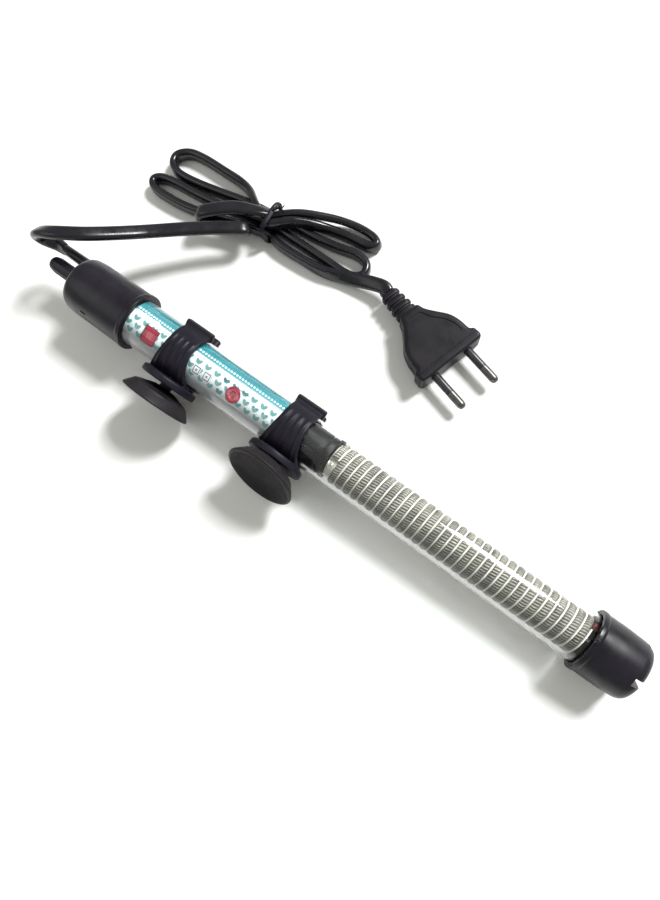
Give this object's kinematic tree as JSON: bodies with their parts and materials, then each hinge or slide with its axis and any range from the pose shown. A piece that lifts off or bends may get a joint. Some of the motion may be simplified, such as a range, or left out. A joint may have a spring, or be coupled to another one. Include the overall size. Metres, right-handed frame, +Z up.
{
  "type": "submersible aquarium heater",
  "caption": "Submersible glass aquarium heater with a visible heating coil, adjustable thermostat, suction-cup clips and a tied two-pin mains cord.",
  "frame": {"origin": "bottom centre of the heater without its cord and plug, on the surface it lies on", "axes": "+X from the knob end to the foot end along the tube, +Y to the side the cord and plug lie on, away from the suction cups, +Z up"},
  "size_m": [0.3177, 0.1332, 0.0386],
  "materials": {
    "cap_plastic": "fine moulded satin",
    "bung_rubber": "matte",
    "shaft_steel": "drawn",
    "seal_rubber": "matte",
    "tube_glass": "clear",
    "label_film": "white film printed with a teal band and small leaf marks",
    "red_lens": "satin red",
    "lamp_glass": "clear warm tint",
    "resistor_body": "lacquered",
    "white_plastic": "satin white",
    "bakelite": "dark brown",
    "brass": "stamped",
    "contact_silver": "bright",
    "capacitor_case": "dipped",
    "bimetal": "rolled strip",
    "ceramic": "unglazed white ceramic",
    "heating_wire": "dark oxidised resistance wire",
    "fuse_sleeve": "red sleeve",
    "copper_wire": "insulated wire",
    "clip_plastic": "fine moulded satin",
    "cup_rubber": "matte",
    "cord_pvc": "soft satin",
    "tie_pvc": "soft satin",
    "plug_pvc": "moulded satin",
    "pin_metal": "nickel plated",
    "pin_insulation": "smooth"
  },
  "bodies": {
    "heater": {"top_cap": "cap_plastic", "cord_gland": "cap_plastic", "sealing_bung": "bung_rubber", "knob_oring": "seal_rubber", "glass_tube": "tube_glass", "foot_cap": "cap_plastic", "label_sleeve": "label_film", "lamp_lens": "red_lens", "neon_lamp": "lamp_glass", "lamp_resistor": "resistor_body", "thermostat_frame": "bakelite", "contact_bracket": "brass", "fixed_contact": "contact_silver", "hinge_post": "brass", "snap_magnet": "shaft_steel", "adjuster_block": "bakelite", "spark_capacitor": "capacitor_case", "inner_holder": "cap_plastic", "ceramic_core": "ceramic", "heating_coil": "heating_wire", "thermal_fuse": "fuse_sleeve", "return_wire": "copper_wire", "coil_lead": "heating_wire", "live_wire": "copper_wire", "neutral_wire": "copper_wire", "cord": "cord_pvc", "twist_tie": "tie_pvc", "plug_body": "plug_pvc", "plug_strain_relief": "plug_pvc", "plug_pin_1": "pin_metal", "plug_pin_2": "pin_metal", "pin_sleeve_1": "pin_insulation", "pin_sleeve_2": "pin_insulation"},
    "adjuster": {"knob": "cap_plastic", "knob_shaft": "shaft_steel"},
    "pointer": {"pointer_plate": "white_plastic", "pointer_disc": "red_lens"},
    "bimetal": {"bimetal_strip": "bimetal", "moving_contact": "contact_silver"},
    "clip_1_body": {"clip_1": "clip_plastic"},
    "clip_2_body": {"clip_2": "clip_plastic"},
    "cup_1_body": {"cup_1": "cup_rubber"},
    "cup_2_body": {"cup_2": "cup_rubber"}
  },
  "joints": [
    {"name": "knob_turn", "type": "hinge", "parent": "heater", "child": "adjuster", "pos_m": [-0.1438, 0.00764, 0.02064], "axis": [0.9997, 0, -0.0262], "range_deg": [-135, 135]},
    {"name": "pointer_travel", "type": "slide", "parent": "heater", "child": "pointer", "axis": [0.9997, 0, -0.0262], "range_m": [-0.003, 0.003]},
    {"name": "bimetal_bend", "type": "hinge", "parent": "heater", "child": "bimetal", "pos_m": [-0.03171, 0.00764, 0.0227], "axis": [0, 1, 0], "range_deg": [0, 3], "stiffness_Nm_per_rad": 0.05},
    {"name": "clip_1_travel", "type": "slide", "parent": "heater", "child": "clip_1_body", "axis": [0.9997, 0, -0.0262], "range_m": [-0.01, 0.01]},
    {"name": "clip_2_travel", "type": "slide", "parent": "heater", "child": "clip_2_body", "axis": [0.9997, 0, -0.0262], "range_m": [-0.012, 0.115]},
    {"name": "cup_1_spin", "type": "hinge", "parent": "clip_1_body", "child": "cup_1_body", "pos_m": [-0.07136, -0.008, 0.01737], "axis": [-0.0023, -0.9962, -0.0871], "continuous": true},
    {"name": "cup_2_spin", "type": "hinge", "parent": "clip_2_body", "child": "cup_2_body", "pos_m": [-0.01132, -0.00804, 0.01799], "axis": [0.0014, -0.9986, 0.0523], "continuous": true}
  ],
  "couplings": [
    {"joint": "pointer_travel", "follows": "knob_turn", "m_per_rad": 0.001273}
  ]
}
